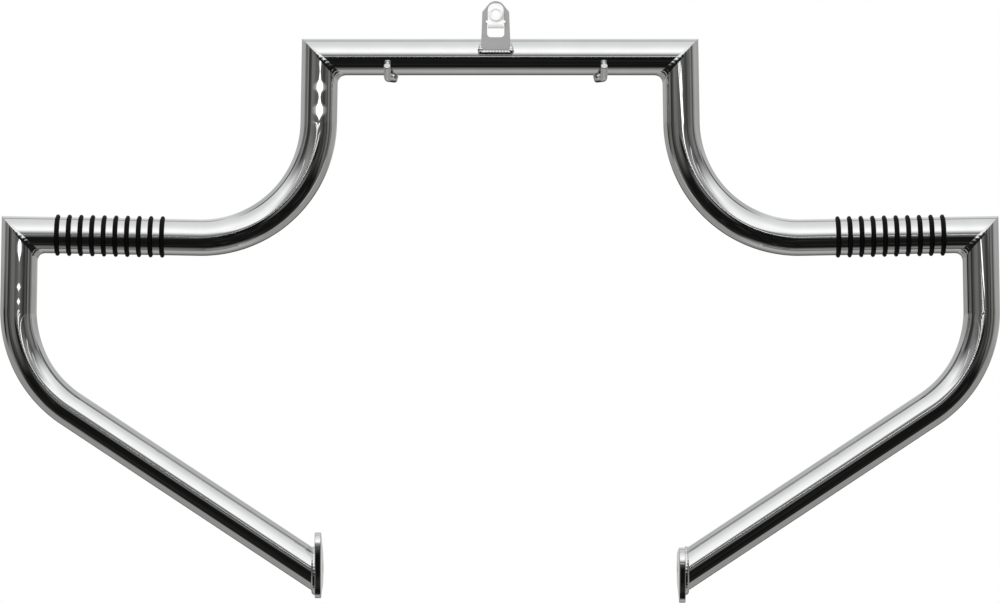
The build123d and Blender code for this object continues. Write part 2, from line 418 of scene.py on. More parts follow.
def open_faces(bm, axis):
    """Takes off the two large faces square to an axis; returns their outlines, lower end first."""
    found = [face for face in bm.faces if abs(face.normal.dot(axis)) > 0.999]
    found = sorted(found, key=lambda face: face.calc_area())[-2:]
    found.sort(key=lambda face: face.calc_center_median().dot(axis))
    rims = [list(face.edges) for face in found]
    bmesh.ops.delete(bm, geom=found, context="FACES_ONLY")
    return rims


def close_faces(bm, rims, holes, axis):
    """Fills each outline round its holes; a hole is its lower and upper loop."""
    for level, rim in enumerate(rims):
        loops = list(rim)
        for hole in holes:
            loops += hole[level]
        bmesh.ops.triangle_fill(bm, use_beauty=True, edges=loops, normal=axis)


def drilled(bm, centre, axis, radius, depth, edge):
    """Wall of a round hole with chamfered ends, as its lower and upper loop."""
    stations = [
        (-depth / 2, radius + edge),
        (edge - depth / 2, radius),
        (depth / 2 - edge, radius),
        (depth / 2, radius + edge),
    ]
    low = circle(bm, radius + edge, HOLE_SIDES, place(centre - axis * depth / 2, axis, UP))
    return low, turned(bm, low, centre, axis, stations)


def smooth_shading(bm):
    """Smooths the faces, and keeps the hard edges and the rims of large flats."""
    for face in bm.faces:
        face.smooth = True
    for edge in sharp_edges(bm, SOFT_ANGLE):
        small, large = sorted(face.calc_area() for face in edge.link_faces)
        edge.smooth = edge.calc_face_angle() < HARD_ANGLE and large < RIM_RATIO * small


def put(name, data):
    """New object in the scene."""
    thing = bpy.data.objects.new(name, data)
    bpy.context.scene.collection.objects.link(thing)
    return thing


def put_mesh(bm, name, material):
    """New object of the mesh."""
    mesh = bpy.data.meshes.new(name)
    bm.to_mesh(mesh)
    bm.free()
    mesh.materials.append(material)
    return put(name, mesh)


def finish(bm, node, ending, material, slot):
    """Makes a piece of the mesh, in place of its CAD node."""
    bmesh.ops.remove_doubles(bm, verts=bm.verts[:], dist=1e-6)
    bmesh.ops.recalc_face_normals(bm, faces=bm.faces[:])
    smooth_shading(bm)
    piece = put_mesh(bm, f"{node}_{ending}", material)
    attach(piece, BODY)
    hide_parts(node)


# Finishes


def add(tree, kind, inputs, **settings):
    """Adds a node with its settings, and its inputs as numbers or links."""
    node = tree.nodes.new(kind)
    for name, value in settings.items():
        setattr(node, name, value)
    for name, value in inputs.items():
        if isinstance(value, bpy.types.NodeSocket):
            tree.links.new(value, node.inputs[name])
        else:
            node.inputs[name].default_value = value
    return node


def fresh_material(name):
    """Material, with its node tree and shader where it is new."""
    material = bpy.data.materials.get(name)
    if material:
        return material, None, None
    material = bpy.data.materials.new(name)
    material.use_nodes = True
    tree = material.node_tree
    return material, tree, tree.nodes["Principled BSDF"]


def grain(tree, scale, detail):
    """Noise on the piece's own coordinates."""
    where = add(tree, "ShaderNodeTexCoord", {}).outputs["Object"]
    inputs = {"Vector": where, "Scale": scale, "Detail": detail}
    return add(tree, "ShaderNodeTexNoise", inputs).outputs["Fac"]


def spread(tree, value, low, high):
    """Noise spread between two values."""
    inputs = {"Value": value, "From Min": 0.3, "From Max": 0.7, "To Min": low, "To Max": high}
    return add(tree, "ShaderNodeMapRange", inputs).outputs["Result"]


def shaded(tree, value, colour, low, high):
    """Colour that varies a little with noise."""
    ramp = add(tree, "ShaderNodeValToRGB", {"Fac": value})
    for element, position, shade in zip(ramp.color_ramp.elements, (0.3, 0.7), (low, high)):
        element.position = position
        element.color = [min(1, part * shade) for part in colour] + [1]
    return ramp.outputs["Color"]


def relief(tree, shader, height, strength, distance):
    """Fine relief on the shader."""
    inputs = {"Strength": strength, "Distance": distance, "Height": height}
    bump = add(tree, "ShaderNodeBump", inputs)
    tree.links.new(bump.outputs["Normal"], shader.inputs["Normal"])


def metal(name, colour, rough, wander, relief_scale, strength, depth, metallic=1.0):
    """Plated metal with a little change of gloss and relief."""
    material, tree, shader = fresh_material(name)
    if tree is None:
        return material
    shader.inputs["Metallic"].default_value = metallic
    tones = shaded(tree, grain(tree, scale=60, detail=3), colour, 0.97, 1.02)
    tree.links.new(tones, shader.inputs["Base Color"])
    gloss = spread(tree, grain(tree, scale=900, detail=4), rough, rough + wander)
    tree.links.new(gloss, shader.inputs["Roughness"])
    relief(tree, shader, grain(tree, relief_scale, detail=2), strength, depth)
    return material


def chrome():
    """Polished chrome on the tubes."""
    look = bar().finish
    return metal(
        "polished_chrome", look.chrome, look.chrome_rough, wander=0.006, relief_scale=40,
        strength=0.001, depth=0.0002)


def weld_chrome():
    """Chrome over weld metal."""
    look = bar().finish
    return metal(
        "chromed_weld", look.chrome, look.chrome_rough + 0.05, wander=0.1, relief_scale=500,
        strength=0.35, depth=0.0003)


def satin():
    """Plating on the stamped tab, not polished first."""
    look = bar().finish
    return metal(
        "satin_plate", look.satin, look.satin_rough, wander=0.08, relief_scale=1500, strength=0.1,
        depth=0.0001, metallic=0.15)


def zinc():
    """Bright zinc on spring steel."""
    look = bar().finish
    return metal(
        "bright_zinc", look.zinc, look.zinc_rough, wander=0.12, relief_scale=1200, strength=0.08,
        depth=0.0001, metallic=0.0)


def rubber():
    """Black rubber with a dusty bloom."""
    look = bar().finish
    material, tree, shader = fresh_material("black_rubber")
    if tree is None:
        return material
    shader.inputs["Specular IOR Level"].default_value = 0.12
    speckle = grain(tree, scale=1500, detail=4)
    tree.links.new(shaded(tree, speckle, look.rubber, 0.7, 1.6), shader.inputs["Base Color"])
    low = look.rubber_rough - 0.06
    gloss = spread(tree, grain(tree, scale=400, detail=3), low, low + 0.14)
    tree.links.new(gloss, shader.inputs["Roughness"])
    relief(tree, shader, speckle, strength=0.2, distance=0.0002)
    return material


# Pieces


def top_crossbar():
    """Straight tube between the upper corners."""
    tube = bar().tube
    left, left_knee = corners("left")[:2]
    right, right_knee = corners("right")[:2]
    start, end = past(right, left), past(left, right)
    bm = bmesh.new()
    for radius in (tube.outside / 2, tube.outside / 2 - tube.wall):
        run(bm, circle(bm, radius, tube.sides, place(start, end - start)), end - start)
    for corner, other, knee in ((left, right, left_knee), (right, left, right_knee)):
        trim(bm, *mitre(corner, other, knee))
    finish(bm, "top_crossbar", "chromed", chrome(), "chrome")


def ring_places():
    """Distances of the grip rings from the outer corner."""
    ring = bar().ring
    return [ring.start + ring.pitch * index for index in range(ring.count)]


def groove_stations(start, radius):
    """Stations of the ringed foot bar, from its bend to past the outer corner."""
    ring = bar().ring
    half = ring.section / 2 + ring.play
    stations = [(0, radius)]
    for ring_place in reversed(ring_places()):
        middle = start - ring_place
        edge = ((1.3, 0), (1, 0), (0.62, 0.08), (0.29, 0.29), (0.08, 0.62), (0, 1))
        shape = [(half + away * ring.edge, deep * ring.edge) for away, deep in edge]
        shape.append((half, ring.groove))
        stations += [(middle - away, radius - deep) for away, deep in shape]
        stations += [(middle + away, radius - deep) for away, deep in reversed(shape)]
    stations.append((start + 2 * bar().tube.outside, radius))
    return stations


def side_tube(side):
    """Downtube, square bend and grooved foot bar."""
    tube = bar().tube
    upper, knee, outer, heel = corners(side)[:4]
    radius = tube.outside / 2
    bm = bmesh.new()
    points = (past(knee, upper), knee, past(knee, outer))
    along = (outer - knee).normalized()
    bend = tube.bend, tube.sides, tube.steps
    _, last, bend_end = bent_shell(bm, points, radius, *bend)
    turned(bm, last, bend_end, along, groove_stations((outer - bend_end).length, radius))
    _, last, bend_end = bent_shell(bm, points, radius - tube.wall, *bend)
    run(bm, last, past(knee, outer) - bend_end)
    trim(bm, *mitre(upper, knee, crossbar_middle()))
    trim(bm, *mitre(outer, knee, heel))
    finish(bm, f"{side}_side_tube", "chromed", chrome(), "chrome")


def leg(side):
    """Upright, bend and slanting run, cut square to the end plate."""
    tube = bar().tube
    knee, outer, heel, foot = corners(side)[1:]
    bm = bmesh.new()
    points = (past(heel, outer), heel, past(heel, foot))
    for radius in (tube.outside / 2, tube.outside / 2 - tube.wall):
        _, last, bend_end = bent_shell(bm, points, radius, tube.bend, tube.sides, tube.steps)
        run(bm, last, past(heel, foot) - bend_end)
    trim(bm, foot, Vector((-SIDES[side], 0, 0)))
    trim(bm, *mitre(outer, heel, knee))
    finish(bm, f"{side}_leg", "chromed", chrome(), "chrome")


def grip_ring(side, number):
    """Round-section rubber ring in its groove."""
    tube, ring = bar().tube, bar().ring
    knee, outer = corners(side)[1:3]
    inwards = (knee - outer).normalized()
    centre = outer + inwards * ring_places()[number]
    middle = tube.outside / 2 - ring.groove + ring.seat + ring.section / 2
    bm = bmesh.new()
    matrix = place(centre - BACK * middle, BACK.cross(inwards))
    section = circle(bm, ring.section / 2, sides=28, matrix=matrix)
    bmesh.ops.spin(
        bm, geom=section + verts_of(section), cent=centre, axis=inwards, angle=math.tau, steps=112,
        use_merge=True)
    finish(bm, f"{side}_ring_{number + 1:02d}", "rubber", rubber(), "rubber")


def end_plate(side):
    """Flat lug with a straight front edge and an eye behind for the bolt."""
    plate, tube = bar().plate, bar().tube
    foot = corners(side)[4]
    inwards = Vector((-SIDES[side], 0, 0))
    top_round = getattr(plate, f"{side}_round")
    front = tube.outside / 2 + plate.lip
    low_round = plate.low_round
    discs = (
        (top_round - front, getattr(plate, f"{side}_above") - top_round, top_round),
        (low_round - front, low_round - getattr(plate, f"{side}_below"), low_round),
        (plate.bolt_back, 0, plate.eye),
    )
    bm = bmesh.new()
    for level in (0, plate.thickness):
        for back, up, radius in discs:
            centre = foot + inwards * level + BACK * back + UP * up
            circle(bm, radius, ROUND_SIDES, place(centre, inwards, UP))
    hull(bm)
    round_off(bm, sharp_edges(bm, limit=math.radians(60)), plate.edge, segments=4)
    rims = open_faces(bm, inwards)
    bolt = foot + inwards * plate.thickness / 2 + BACK * plate.bolt_back
    hole = drilled(bm, bolt, inwards, plate.bolt_hole / 2, plate.thickness, edge=0.0004)
    close_faces(bm, rims, [hole], inwards)
    finish(bm, f"{side}_end_plate", "chromed", chrome(), "chrome")


def upright_sheet(bm, level, width, bottom, top):
    """Flat rectangle that faces forwards; returns its corners, the lower two first."""
    half = width / 2
    spots = ((-half, bottom), (half, bottom), (half, top), (-half, top))
    verts = [bmesh.ops.create_vert(bm, co=(x, level, z))["vert"][0] for x, z in spots]
    bm.faces.new(verts)
    return verts


def round_corners(bm, verts, radius, segments):
    """Rounds corners of a flat sheet."""
    bmesh.ops.bevel(
        bm, geom=verts, offset=radius, offset_type="OFFSET", segments=segments, profile=0.5,
        affect="VERTICES", material=-1)


def window_wall(bm, level, next_level):
    """Wall of the tab's window, as its front and rear loop."""
    tab = bar().tab
    verts = upright_sheet(bm, level, tab.window_width, -tab.window_foot, -tab.window_top)
    round_corners(bm, verts[:2], tab.window_round, segments=10)
    flat = [face for face in bm.faces if abs(face.normal.y) > 0.99]
    flat = [face for face in flat if abs(face.calc_center_median().y - level) < 1e-6]
    face = min(flat, key=lambda face: face.calc_area())
    front = list(face.edges)
    bmesh.ops.delete(bm, geom=[face], context="FACES_ONLY")
    return front, run(bm, front, BACK * (next_level - level))


def mounting_tab():
    """Domed flat tab with a bolt hole and a window, its foot fitted to the crossbar."""
    tab, tube = bar().tab, bar().tube
    bm = bmesh.new()
    rear = tab.front + tab.thickness
    for level in (tab.front, rear):
        matrix = place(BACK * level + UP * (tab.top - tab.dome), BACK, UP)
        circle(bm, tab.dome, ROUND_SIDES, matrix)
        for width, height in ((tab.foot_width, -tab.foot), (tab.shoulder_width, tab.shoulder)):
            for x in (-width / 2, width / 2):
                bmesh.ops.create_vert(bm, co=(x, level, height))
    hull(bm)
    axis_point = Vector((0, tube.behind, -tube.below))
    clear_of_tube = tube.outside / 2 + 0.00003
    foot_climbs = (21, 27, 33)
    for climb in map(math.radians, foot_climbs):
        out = Vector((0, -math.cos(climb), math.sin(climb)))
        cap(bm, cut(bm, axis_point + out * clear_of_tube, -out))
    round_off(bm, sharp_edges(bm, limit=math.radians(50)), tab.edge, segments=3)
    rims = open_faces(bm, BACK)
    window = window_wall(bm, tab.front, rear)
    middle = BACK * (tab.front + rear) / 2
    hole = drilled(bm, middle, BACK, tab.hole / 2, tab.thickness, edge=0.0003)
    close_faces(bm, rims, [window, hole], BACK)
    finish(bm, "mounting_tab", "plated", satin(), "chrome")


def leaf(bm, level, top, bottom):
    """Open outline of a flat leaf of the clip nut, with rounded upper corners."""
    clip = bar().clip

    def at_level(item):
        return all(abs(vert.co.y - level) < 1e-7 for vert in item.verts)

    verts = upright_sheet(bm, level, clip.width, bottom, top)
    round_corners(bm, verts[2:], clip.corner, segments=12)
    outline = [edge for edge in bm.edges if at_level(edge)]
    flat = [face for face in bm.faces if at_level(face)]
    bmesh.ops.delete(bm, geom=flat, context="FACES_ONLY")
    return outline


def clip_strip(bm):
    """Sheet of the clip nut: front leaf, flare, fold and rear leaf, all on its outer skin."""
    clip, tab = bar().clip, bar().tab
    front = tab.front - clip.sheet
    rear = tab.front + tab.thickness + clip.sheet
    outline = leaf(bm, front, clip.top, -clip.knee)
    hole = circle(bm, clip.major / 2, sides=48, matrix=place(BACK * front, BACK, UP))
    bmesh.ops.triangle_fill(bm, use_beauty=True, edges=outline + hole, normal=-BACK)
    low = [
        edge for edge in bm.edges
        if all(abs(vert.co.z + clip.knee) < 1e-7 for vert in edge.verts)]
    flare_centre = Vector((0, front - clip.flare_round, -clip.knee))
    sideways = Vector((1, 0, 0))
    low = swing(bm, low, flare_centre, sideways, -clip.flare, steps=6)
    bmesh.ops.scale(bm, vec=(clip.ears / clip.width, 1, 1), verts=verts_of(low))
    here = verts_of(low)[0].co
    lean = Vector((0, math.cos(clip.flare), -math.sin(clip.flare)))
    fold = (rear - here.y) / (1 + lean.y)
    fold_centre = Vector((0, here.y, here.z)) + lean * fold
    ears_turn = math.radians(40)
    low = swing(bm, low, fold_centre, sideways, ears_turn, steps=5)
    bmesh.ops.scale(bm, vec=(clip.width / clip.ears, 1, 1), verts=verts_of(low))
    swing(bm, low, fold_centre, sideways, math.pi + clip.flare - ears_turn, steps=24)
    outline = leaf(bm, rear, clip.top, fold_centre.z)
    hole = circle(bm, tab.hole / 2, sides=48, matrix=place(BACK * rear, BACK, UP))
    bmesh.ops.triangle_fill(bm, use_beauty=True, edges=outline + hole, normal=BACK)
    bmesh.ops.remove_doubles(bm, verts=bm.verts[:], dist=1e-6)
    bmesh.ops.recalc_face_normals(bm, faces=bm.faces[:])
    upper = max(bm.faces, key=lambda face: -face.calc_center_median().y)
    if upper.normal.y > 0:
        bmesh.ops.reverse_faces(bm, faces=bm.faces[:])
    bmesh.ops.solidify(bm, geom=bm.faces[:], thickness=clip.sheet)


def clip_collar(bm):
    """Threaded collar that stands on the front leaf."""
    clip, tab = bar().clip, bar().tab
    sunk = clip.sheet * 0.9
    base = tab.front - sunk
    height = clip.rise + sunk
    outer, root = clip.collar / 2, clip.major / 2
    foot, edge = 0.0009, 0.0005
    stations = [
        (0, outer + foot), (sunk, outer + foot), (sunk + foot / 3, outer + 0.3 * foot),
        (sunk + foot, outer), (height - edge, outer), (height - 0.3 * edge, outer - 0.3 * edge),
        (height, outer - edge), (height, root + edge), (height - edge, root), (0, root),
    ]
    low = circle(bm, outer + foot, HOLE_SIDES, place(BACK * base, -BACK, UP))
    last = turned(bm, low, BACK * base, -BACK, stations)
    bmesh.ops.bridge_loops(bm, edges=low + last)
    turns = int(height / clip.pitch)
    half = clip.pitch * 0.42
    depth = (clip.major - clip.thread) / 2
    crest, bottom = root - depth, root + 0.0001
    spots = ((bottom, -half), (crest, -0.1 * half), (crest, 0.1 * half), (bottom, half))
    verts = [
        bmesh.ops.create_vert(bm, co=(radius, base - clip.pitch / 2 - along, 0))["vert"][0]
        for radius, along in spots]
    ridge = bm.faces.new(verts)
    steps = 40 * turns
    climb = clip.pitch * (turns - 0.2)
    bmesh.ops.spin(
        bm, geom=[ridge] + list(ridge.edges) + verts, cent=(0, 0, 0), axis=-BACK,
        dvec=-BACK * climb / steps, angle=math.tau * turns, steps=steps)


def clip_nut():
    """Folded clip nut with its collar."""
    bm = bmesh.new()
    clip_strip(bm)
    clip_collar(bm)
    finish(bm, "clip_nut", "zinc", zinc(), "zinc_plate")


def hook_points(side):
    """Heel, contact below the crossbar, bend corner and tip of a hook's centre line."""
    hook, tube = bar().hook, bar().tube
    sign = SIDES[side]
    ahead = Vector((sign * math.sin(hook.turn), -math.cos(hook.turn), 0))
    rise = Vector((0, -math.cos(hook.rise), math.sin(hook.rise)))
    level = -tube.below - tube.outside / 2 - hook.root - hook.rod / 2
    contact = Vector((sign * hook.spacing / 2, tube.behind, level))
    corner = contact + ahead * hook.reach
    return contact - ahead * hook.heel, contact, corner, corner + rise * hook.limb


def rod_end(bm, edges, end, along):
    """Rounds the rod's end over and closes it."""
    hook = bar().hook
    radius = hook.rod / 2
    stations = [(-hook.tip, radius)]
    for step in range(1, 6):
        turn = step * math.pi / 10
        inset = hook.tip * (1 - math.cos(turn))
        stations.append((hook.tip * (math.sin(turn) - 1), radius - inset))
    cap(bm, turned(bm, edges, end, along, stations))


def hook(side):
    """Rod with its foot under the crossbar and a limb that rises in front of it."""
    size = bar().hook
    heel, _, corner, tip = hook_points(side)
    ahead = (corner - heel).normalized()
    rise = (tip - corner).normalized()
    bm = bmesh.new()
    start = heel + ahead * size.tip
    points = (start, corner, tip)
    first, last, bend_end = bent_shell(bm, points, size.rod / 2, size.bend, sides=48, steps=24)
    last = run(bm, last, tip - rise * size.tip - bend_end)
    rod_end(bm, last, tip, rise)
    rod_end(bm, first, heel, -ahead)
    finish(bm, f"{side}_hook", "chromed", chrome(), "chrome")


# Welds


def ripple(distance, seed):
    """Thickness of a bead at a distance along it, with laid ripples and a little unevenness."""
    weld = bar().weld
    wave = abs(math.sin(math.pi * distance / weld.pitch))
    lump = noise.noise(Vector((distance * LUMPS, seed, 0.5)))
    return 1 + weld.ripple * (wave - 0.5) + LUMP_HEIGHT * lump


def bead(bm, spots, radius, seed, closed=False, calm=1):
    """Weld bead along (point, direction, thickness) spots; a higher calm makes it smoother."""
    distance = 0
    matrices = []
    for index, (point, along, thick) in enumerate(spots):
        if index:
            distance += (point - spots[index - 1][0]).length
        size = radius * thick * (1 + (ripple(distance, seed) - 1) / calm)
        matrices.append(place(point, along, Vector((0.31, 0.2, 0.93))) @ Matrix.Scale(size, 4))
    first = circle(bm, radius=1, sides=20, matrix=matrices[0])
    last = first
    for before, after in zip(matrices, matrices[1:]):
        last = carry(bm, last, after @ before.inverted())
    if closed:
        bmesh.ops.bridge_loops(bm, edges=first + last)
    else:
        cap(bm, first)
        cap(bm, last)


def fading(share_along):
    """Thickness that dies out at both ends of a bead."""
    least, end_part = 0.12, 0.16
    near_end = min(share_along, 1 - share_along)
    return max(least, min(1, near_end / end_part)) ** 0.5


def oval_spots(centre, long_way, short_way, count):
    """Spots of a bead all round an oval."""
    spots = []
    for index in range(count):
        turn = math.tau * index / count
        point = centre + long_way * math.cos(turn) + short_way * math.sin(turn)
        along = short_way * math.cos(turn) - long_way * math.sin(turn)
        spots.append((point, along, 1))
    return spots


def fillet_section(bm):
    """Closed section of a corner weld: a hollow face between the tubes, and a root below both."""
    reach = bm.verts.layers.float_vector.new("reach")
    verts = bmesh.ops.create_circle(bm, segments=40, radius=1)["verts"]
    for vert in verts:
        turn = math.atan2(vert.co.y, vert.co.x) % math.tau
        part = min(turn, math.tau - turn) / math.pi
        if turn <= math.pi:
            vert[reach] = ((1 - part) ** 2, part**2, 2 * part * (1 - part))
        else:
            vert[reach] = (max(0, 1 - 2 * part), max(0, 2 * part - 1), -1)
    return reach, edges_of(verts)


def corner_weld(side, name, corner, first, second, seed):
    """Weld of a mitred corner: a hollow fillet inside, a rippled bead in front and behind."""
    tube, weld = bar().tube, bar().weld
    to_first = (first - corner).normalized()
    to_second = (second - corner).normalized()
    inside = (to_first + to_second).normalized()
    radius = tube.outside / 2
    slant = radius / math.sin(to_first.angle(to_second) / 2)
    bm = bmesh.new()
    reach, edges = fillet_section(bm)
    ends = math.radians(124)
    count = 180
    root = 0.001
    for index in range(count + 1):
        turn = ends * (2 * index / count - 1)
        way = inside * slant * math.cos(turn) + BACK * radius * math.sin(turn)
        normal = sum(
            ((way - along * way.dot(along)).normalized() for along in (to_first, to_second)),
            Vector()).normalized()
        inner = max(0, math.cos(turn)) ** 4
        size = fading(index / count)
        wave = ripple(radius * turn, seed)
        legs = size * (weld.front + (weld.inner - weld.front) * inner) * (0.5 + 0.5 * wave)
        height = size * weld.crown * (1 - 0.8 * inner) * (2 * wave - 1)
        if index:
            edges = carry(bm, edges, Matrix())
        for vert in verts_of(edges):
            ahead, aside, up = vert[reach]
            rise = up * height if up > 0 else up * root
            sideways = (to_first * ahead + to_second * aside) * legs
            vert.co = corner + way + sideways + normal * rise
        if index in (0, count):
            cap(bm, edges)
    finish(bm, f"{side}_{name}_weld", "bead", weld_chrome(), "chrome")


def foot_weld(side, seed):
    """Bead all round a leg where it meets its end plate."""
    tube, weld = bar().tube, bar().weld
    foot = corners(side)[4]
    wide = tube.outside / 2
    tall = wide / math.cos(tube.slope)
    sunk, behind_plate, lift = 0.0004, 0.0005, 0.0003
    centre = foot + Vector((SIDES[side] * behind_plate, 0, lift))
    spots = oval_spots(centre, UP * (tall - sunk), BACK * (wide - sunk), count=160)
    bm = bmesh.new()
    bead(bm, spots, weld.foot * 0.86, seed, closed=True, calm=2.2)
    trim(bm, foot, Vector((-SIDES[side], 0, 0)))
    finish(bm, f"{side}_foot_weld", "bead", weld_chrome(), "chrome")


def tab_weld(seed):
    """Bead along the tab's lower edge and up both its sides."""
    tube, weld, tab = bar().tube, bar().weld, bar().tab
    radius = tube.outside / 2
    low, high = weld.tab_low, weld.tab_high
    half = tab.foot_width / 2

    def on_tube(x, climb):
        away, up = radius * math.cos(climb), radius * math.sin(climb)
        return Vector((x, tube.behind - away, up - tube.below))

    side_steps, foot_steps, rounding_passes = 24, 60, 8
    climbs = [low + (high - low) * (index + 1) / side_steps for index in range(side_steps)]
    points = [on_tube(-half, climb) for climb in reversed(climbs)]
    points += [on_tube(half * (2 * index / foot_steps - 1), low) for index in range(foot_steps + 1)]
    points += [on_tube(half, climb) for climb in climbs]
    for _ in range(rounding_passes):
        inner = [(a + b * 2 + c) / 4 for a, b, c in zip(points, points[1:], points[2:])]
        points = points[:1] + inner + points[-1:]
    spots = []
    for index, point in enumerate(points):
        before = points[max(index - 2, 0)]
        after = points[min(index + 2, len(points) - 1)]
        thick = 0.95 if abs(point.x) < half * 0.98 else 1.05
        spots.append((point, after - before, fading(index / (len(points) - 1)) * thick))
    bm = bmesh.new()
    bead(bm, spots, weld.tab, seed)
    finish(bm, "tab_weld", "bead", weld_chrome(), "chrome")


def hook_weld(side, seed):
    """Lump of weld round a hook's foot."""
    weld = bar().weld
    contact = hook_points(side)[1]
    bm = bmesh.new()
    lift, squash, fineness, unevenness = 0.0024, 0.94, 420, 0.0004
    centre = contact + UP * lift
    squat = Matrix.Translation(centre) @ Matrix.Diagonal((1, 1, squash, 1))
    made = bmesh.ops.create_icosphere(bm, subdivisions=4, radius=weld.hook, matrix=squat)
    for vert in made["verts"]:
        way = (vert.co - centre).normalized()
        lump = noise.noise(vert.co * fineness + Vector((seed, 0, 0)))
        vert.co += way * lump * unevenness
    finish(bm, f"{side}_hook_weld", "lump", weld_chrome(), "chrome")


# Stage


class StudioNodes:
    """Shorthand for the sums of the studio's light."""

    def __init__(self, tree):
        self.tree = tree

    def sum(self, operation, first, second=0.0):
        """Arithmetic on numbers or sockets."""
        inputs = {0: first, 1: second}
        return add(self.tree, "ShaderNodeMath", inputs, operation=operation).outputs[0]

    def times(self, *parts):
        """Product of several shares."""
        product = parts[0]
        for part in parts[1:]:
            product = self.sum("MULTIPLY", product, part)
        return product

    def slope(self, value, zero, one):
        """From 0 to 1 between two limits."""
        inputs = {"Value": value, "From Min": zero, "From Max": one}
        node = add(self.tree, "ShaderNodeMapRange", inputs, interpolation_type="SMOOTHSTEP")
        return node.outputs["Result"]

    def ramp(self, value, low, high, stops):
        """Values at stops between two limits, with straight lines from stop to stop."""
        inputs = {"Value": value, "From Min": low, "From Max": high}
        scaled = add(self.tree, "ShaderNodeMapRange", inputs)
        node = add(self.tree, "ShaderNodeValToRGB", {"Fac": scaled.outputs["Result"]})
        elements = node.color_ramp.elements
        while len(elements) < len(stops):
            elements.new(0.5)
        for element, (stop, part) in zip(elements, stops):
            element.position = (stop - low) / (high - low)
            element.color = (part, part, part, 1)
        return node.outputs["Color"]

    def curve(self, value, low, high, stops):
        """Grey levels, as seen on screen, at stops between two limits."""
        return self.ramp(value, low, high, [(stop, light_of(level)) for stop, level in stops])

    def mix(self, amount, first, second, blend="MIX"):
        """Blends two colours; the second can be a grey level."""
        if isinstance(second, (int, float)):
            second = (*[light_of(second)] * 3, 1)
        inputs = {0: amount, 6: first, 7: second}
        node = add(self.tree, "ShaderNodeMix", inputs, data_type="RGBA", blend_type=blend)
        return node.outputs[2]

    def patch(self, light, level, *limits, share=1, blend="MIX"):
        """Lays a level over the part of the light within (value, where 0, where 1) limits."""
        part = self.times(*[self.slope(*limit) for limit in limits], share)
        return self.mix(part, light, level, blend)


def band(value, low, high, soft):
    """Limits of a band with soft ends."""
    return (value, low - soft, low + soft), (value, high + soft, high - soft)


def light_of(level):
    """Light that chrome shows as a screen grey level from 0 to 255."""
    part = level / 255
    linear = part / 12.92 if part <= 0.04045 else ((part + 0.055) / 1.055) ** 2.4
    return linear / CHROME_MIRRORS


def lamp_row(do, light, across, level):
    """Lays an upright row of lamps and their glow over the light."""
    reach = do.ramp(level, -0.35, 2.75, (
        (-0.32, 0), (-0.28, 0.43), (-0.24, 0), (-0.13, 0), (-0.09, 0.46), (-0.05, 0), (0.02, 0),
        (0.066, 0.52), (0.11, 0.04), (0.33, 0.06), (0.38, 0.22), (0.45, 0.48), (0.53, 0.48),
        (0.58, 0.19), (0.62, 0), (1.62, 0), (1.7, 0.19), (1.78, 0.28), (1.84, 0.06), (1.92, 0.04),
        (1.95, 0.3), (2.0, 0.85), (2.06, 0.9), (2.11, 0.4), (2.17, 0.22), (2.22, 0.35),
        (2.26, 0.85), (2.31, 0.8), (2.36, 0.3), (2.45, 0.13), (2.54, 0.27), (2.66, 0)))
    beside = do.sum("ABSOLUTE", do.sum("SUBTRACT", across, 4))
    glow = do.sum("SUBTRACT", do.times(reach, 70), beside)
    light = do.patch(light, 222, (glow, 6, 54), share=0.75)
    lamps = do.sum("SUBTRACT", do.times(reach, 26), beside)
    return do.patch(light, 310, (lamps, 0.6, 3))


